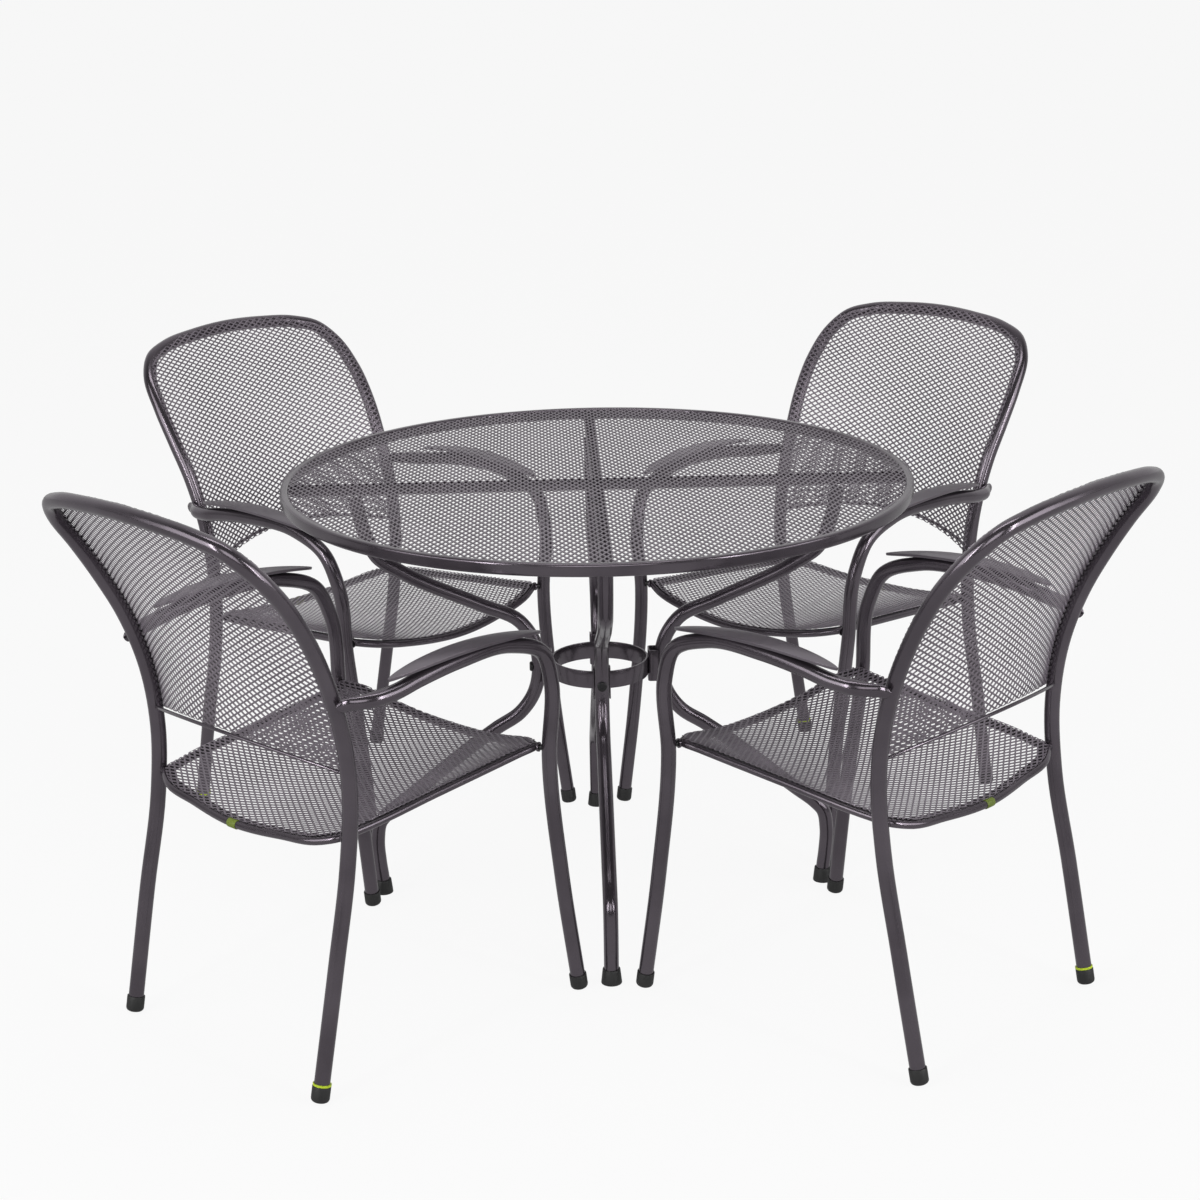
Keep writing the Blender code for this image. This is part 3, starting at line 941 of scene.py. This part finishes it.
for side, knots in (("right", ARM), ("left", mirrored(ARM))):
    cap, placed = standing_knots("cap_front_" + side, knots)
    keep(cap, "cap_black", "foot_front_" + side)
    line = smooth_line(placed, 10)
    arm = bent_tube("arm_tube_" + side, line, TUBE, tube_coat)
    press_end(arm, line)
    pick(arm)
    bpy.ops.object.shade_smooth_by_angle(angle=math.radians(40))
    sign = 1.0 if side == "right" else -1.0
    ends = [(sign * x, SHANK_DEPTH, SHANK_HEIGHT) for x in (0.2340, 0.2440)]
    shank = bent_tube("shank", ends, 0.0040, tube_coat)
    keep(join_pieces(arm, shank), "tube_coat", "arm_" + side)
print("arm faces:", len(arm.data.polygons))

# %% [markdown]
# The arm rest is a thin leaf of metal on two short pegs, a finger's width clear of the tube. It is a
# grid pulled into a leaf: the width falls away to both tips, the length follows the arm's arch, and
# the middle is crowned. Solidify and a small bevel make the plate.


# %% Arm rests
PAD_LENGTH = 0.315
PAD_WIDTH = 0.040
PAD_MIDDLE = 0.0205
PAD_ARCH = 0.0165
PAD_SLOPE = 0.0030
arm_line = smooth_line(ARM, 12)


def arm_rest(side, sign):
    bpy.ops.object.select_all(action="DESELECT")
    bpy.ops.mesh.primitive_grid_add(x_subdivisions=8, y_subdivisions=48, size=2)
    leaf = bpy.context.object
    for v in leaf.data.vertices:
        t = v.co.y * 0.995
        width = (1.0 - t * t) ** 0.62 * PAD_WIDTH / 2
        across = v.co.x
        x = across * width + sign * (0.2665 + 0.0030 * (1.0 - t * t) - 0.0037 * t)
        z = 0.6392 - PAD_ARCH * t * t - PAD_SLOPE * t - 0.0012 * across * across * (1 - t * t)
        v.co = (x, PAD_MIDDLE + t * PAD_LENGTH / 2, z + 0.0020)
    apply_modifier(leaf, "SOLIDIFY", thickness=0.0042, offset=0.0, use_even_offset=True)
    edge = math.radians(50)
    apply_modifier(leaf, "BEVEL", width=0.0012, segments=3, limit_method="ANGLE", angle_limit=edge)
    pick(leaf)
    bpy.ops.object.shade_smooth_by_angle(angle=math.radians(45))
    name_piece(leaf, "arm_rest_" + side, pad_coat)
    pegs = []
    for y in (0.100, -0.055):
        under = min(arm_line[60:], key=lambda p: abs(p.y - y))
        low = (sign * under.x, y, under.z + TUBE - 0.001)
        t = (y - PAD_MIDDLE) / (PAD_LENGTH / 2)
        high = (sign * under.x, y, 0.6402 - PAD_ARCH * t * t - PAD_SLOPE * t)
        pegs.append(bent_tube("peg", [low, high], 0.0042, bolt_coat, sides=6))
    return join_pieces(leaf, *pegs)


for side, sign in (("right", 1.0), ("left", -1.0)):
    keep(arm_rest(side, sign), "pad_coat", "arm_pad_" + side)

# %% [markdown]
# Small fittings finish the chair. A short collar and neck hold the seat loop off each front leg, a
# stub joins it to each rear leg, a thin green ring sits above one rear cap, and a small blank tab is
# wrapped round the middle of the rear rail.


# %% Chair fittings
COLLAR_HEIGHT = 0.4222
STUB_HEIGHT = 0.3866


def plug(name, start, end, radius, finish):
    return bent_tube(name, [Vector(start), Vector(end)], radius, finish, sides=6)


for side, sign in (("right", 1.0), ("left", -1.0)):
    start, end = (sign * 0.2200, 0.2005, COLLAR_HEIGHT), (sign * 0.2360, 0.2065, COLLAR_HEIGHT)
    neck = plug("neck", start, end, 0.0046, bolt_coat)
    start, end = (sign * 0.2248, 0.2022, COLLAR_HEIGHT), (sign * 0.2284, 0.2036, COLLAR_HEIGHT)
    collar = plug("collar", start, end, 0.0076, tube_coat)
    apply_modifier(collar, "BEVEL", width=0.0012, segments=3, limit_method="ANGLE")
    collar = join_pieces(collar, neck)
    keep(name_piece(collar, "seat_collar_" + side), "tube_coat")
    start, end = (sign * 0.2040, -0.1825, STUB_HEIGHT), (sign * 0.2150, -0.1835, STUB_HEIGHT)
    stub = plug("seat_stub_" + side, start, end, 0.0048, tube_coat)
    keep(stub, "tube_coat")

direction = (Vector(HOOP[1]) - Vector(HOOP[0])).normalized()
ring_middle = Vector(HOOP[0]) + direction * 0.0285
half_ring = direction * 0.0016
green_ring = plug("green_ring", ring_middle - half_ring, ring_middle + half_ring, 0.0140, bright_green)
keep(green_ring, "cap_black")


def rail_tab():
    """A little blank tab folded over the rear rail."""
    bpy.ops.object.select_all(action="DESELECT")
    bpy.ops.mesh.primitive_cylinder_add(
        vertices=24,
        radius=SEAT_ROD + 0.0010,
        depth=0.019,
        location=SEAT_LOOP[0],
        rotation=(0, math.pi / 2, 0),
    )
    tab = bpy.context.object
    bpy.ops.object.transform_apply(location=True, rotation=True, scale=True)
    apply_modifier(tab, "BEVEL", width=0.0008, segments=2, limit_method="ANGLE")
    pick(tab)
    bpy.ops.object.shade_smooth_by_angle(angle=math.radians(40))
    return name_piece(tab, "rail_tab", green_painted_shade)


keep(rail_tab(), "cap_black")

# %% [markdown]
# ## Four chairs
# Every finished chair piece is copied to the four places. Each copy has its own mesh, turned and
# moved to its place, so all objects stay at the origin.

# %% Copy the chair to its four places
CHAIR_DISTANCE = 0.582
CHAIRS = (
    ("chair_front_left", 225),
    ("chair_front_right", 315),
    ("chair_back_right", 45),
    ("chair_back_left", 135),
)
for body, angle in CHAIRS:
    turn = Matrix.Rotation(math.radians(angle + 90), 4, "Z")
    place = turn @ Matrix.Translation((0.0, -CHAIR_DISTANCE, 0.0))
    for piece, slot, replaces in chair_pieces:
        copy = piece.copy()
        copy.data = piece.data.copy()
        copy.data.transform(place)
        bpy.context.scene.collection.objects.link(copy)
        copy.name = f"{body}_{piece.name}"
        copy.data.name = copy.name
        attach(copy, body)
        for node in replaces:
            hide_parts(f"{body}_{node}")
for piece, _, _ in chair_pieces:
    bpy.data.objects.remove(piece, do_unlink=True)

# %% [markdown]
# ## Ground, light and camera
# The set stands on a plain pale ground with a white backdrop behind it, which glows on every face that
# lies nearly flat. Walls of soft light to the left, right and front fill the faces of the tubes, narrow
# strips draw bright lines along them, and the room on the near side is dim, so the steel keeps its dark
# edges. The ground gives off most of its own brightness, which keeps shadows on it faint; it is weaker
# for the light that falls on the steel.

# %% Ground
bpy.ops.object.select_all(action="DESELECT")
bpy.ops.mesh.primitive_plane_add(size=160, location=(0, 40, -0.0005))
ground = bpy.context.object
ground.name = "ground"
pale = bpy.data.materials.new("pale_ground")
pale.use_nodes = True
shader = pale.node_tree.nodes["Principled BSDF"]
shader.inputs["Base Color"].default_value = (0.05, 0.05, 0.05, 1)
shader.inputs["Roughness"].default_value = 1.0
shader.inputs["Specular IOR Level"].default_value = 0.0
shader.inputs["Emission Color"].default_value = (1.0, 1.0, 1.0, 1)
path = pale.node_tree.nodes.new("ShaderNodeLightPath")
strength = pale.node_tree.nodes.new("ShaderNodeMapRange")
strength.inputs["To Min"].default_value = 0.46
strength.inputs["To Max"].default_value = 0.915
pale.node_tree.links.new(path.outputs["Is Camera Ray"], strength.inputs["Value"])
pale.node_tree.links.new(strength.outputs["Result"], shader.inputs["Emission Strength"])
ground.data.materials.append(pale)

# %% Light
world = bpy.data.worlds.new("studio")
world.use_nodes = True
world.node_tree.nodes["Background"].inputs["Color"].default_value = (1.0, 1.0, 1.0, 1)
sky = world.node_tree.nodes
wires = world.node_tree.links
way = sky.new("ShaderNodeTexCoord")
split = sky.new("ShaderNodeSeparateXYZ")
backdrop = sky.new("ShaderNodeMapRange")
backdrop.inputs["From Min"].default_value = -0.1
backdrop.inputs["From Max"].default_value = 0.6
backdrop.inputs["To Min"].default_value = 0.06
backdrop.inputs["To Max"].default_value = 0.72
seen = sky.new("ShaderNodeLightPath")
brighter = sky.new("ShaderNodeMath")
brighter.operation = "MAXIMUM"
wires.new(way.outputs["Generated"], split.inputs["Vector"])
wires.new(split.outputs["Y"], backdrop.inputs["Value"])
wires.new(backdrop.outputs["Result"], brighter.inputs[0])
wires.new(seen.outputs["Is Camera Ray"], brighter.inputs[1])
wires.new(brighter.outputs[0], sky["Background"].inputs["Strength"])
bpy.context.scene.world = world


def soft_light(name, place, width, height, power):
    bpy.ops.object.light_add(type="AREA", location=place)
    light = bpy.context.object
    light.name = name
    light.data.shape = "RECTANGLE"
    light.data.size = width
    light.data.size_y = height
    light.data.energy = power
    light.rotation_euler = (Vector((0, 0, 0.5)) - Vector(place)).to_track_quat("-Z", "Y").to_euler()
    return light


soft_light("left_wall", (-4.5, -2.5, 2.4), 3.2, 3.0, 85)
soft_light("right_wall", (4.5, -2.2, 2.4), 3.2, 3.0, 85)
soft_light("front_wall", (0.0, -6.5, 3.4), 4.0, 3.0, 95)
soft_light("top_wall", (0.0, 1.0, 5.0), 5.0, 4.0, 8)
soft_light("top_strip", (0.0, -0.5, 4.4), 3.0, 0.6, 30)
soft_light("left_strip", (-2.6, -3.2, 2.0), 0.35, 2.4, 48)
soft_light("right_strip", (2.9, -3.0, 2.0), 0.35, 2.4, 45)

# %% Camera
bpy.ops.object.camera_add(location=(-0.1068, -3.9980, 1.7541))
camera = bpy.context.object
yaw, pitch, roll = 0.0272, 0.2984, -0.0168
forward = Vector((math.sin(yaw) * math.cos(pitch), math.cos(yaw) * math.cos(pitch), -math.sin(pitch)))
right = Vector((math.cos(yaw), -math.sin(yaw), 0))
up = right.cross(forward)
rolled_right = right * math.cos(roll) + up * math.sin(roll)
rolled_up = up * math.cos(roll) - right * math.sin(roll)
turn = Matrix((rolled_right, rolled_up, -forward)).transposed()
camera.rotation_euler = turn.to_euler()
camera.data.sensor_width = 36.0
camera.data.lens = 36.0 * 2473.5 / 1200
camera.data.clip_end = 400
bpy.context.scene.camera = camera
bpy.context.scene.view_settings.view_transform = "Standard"
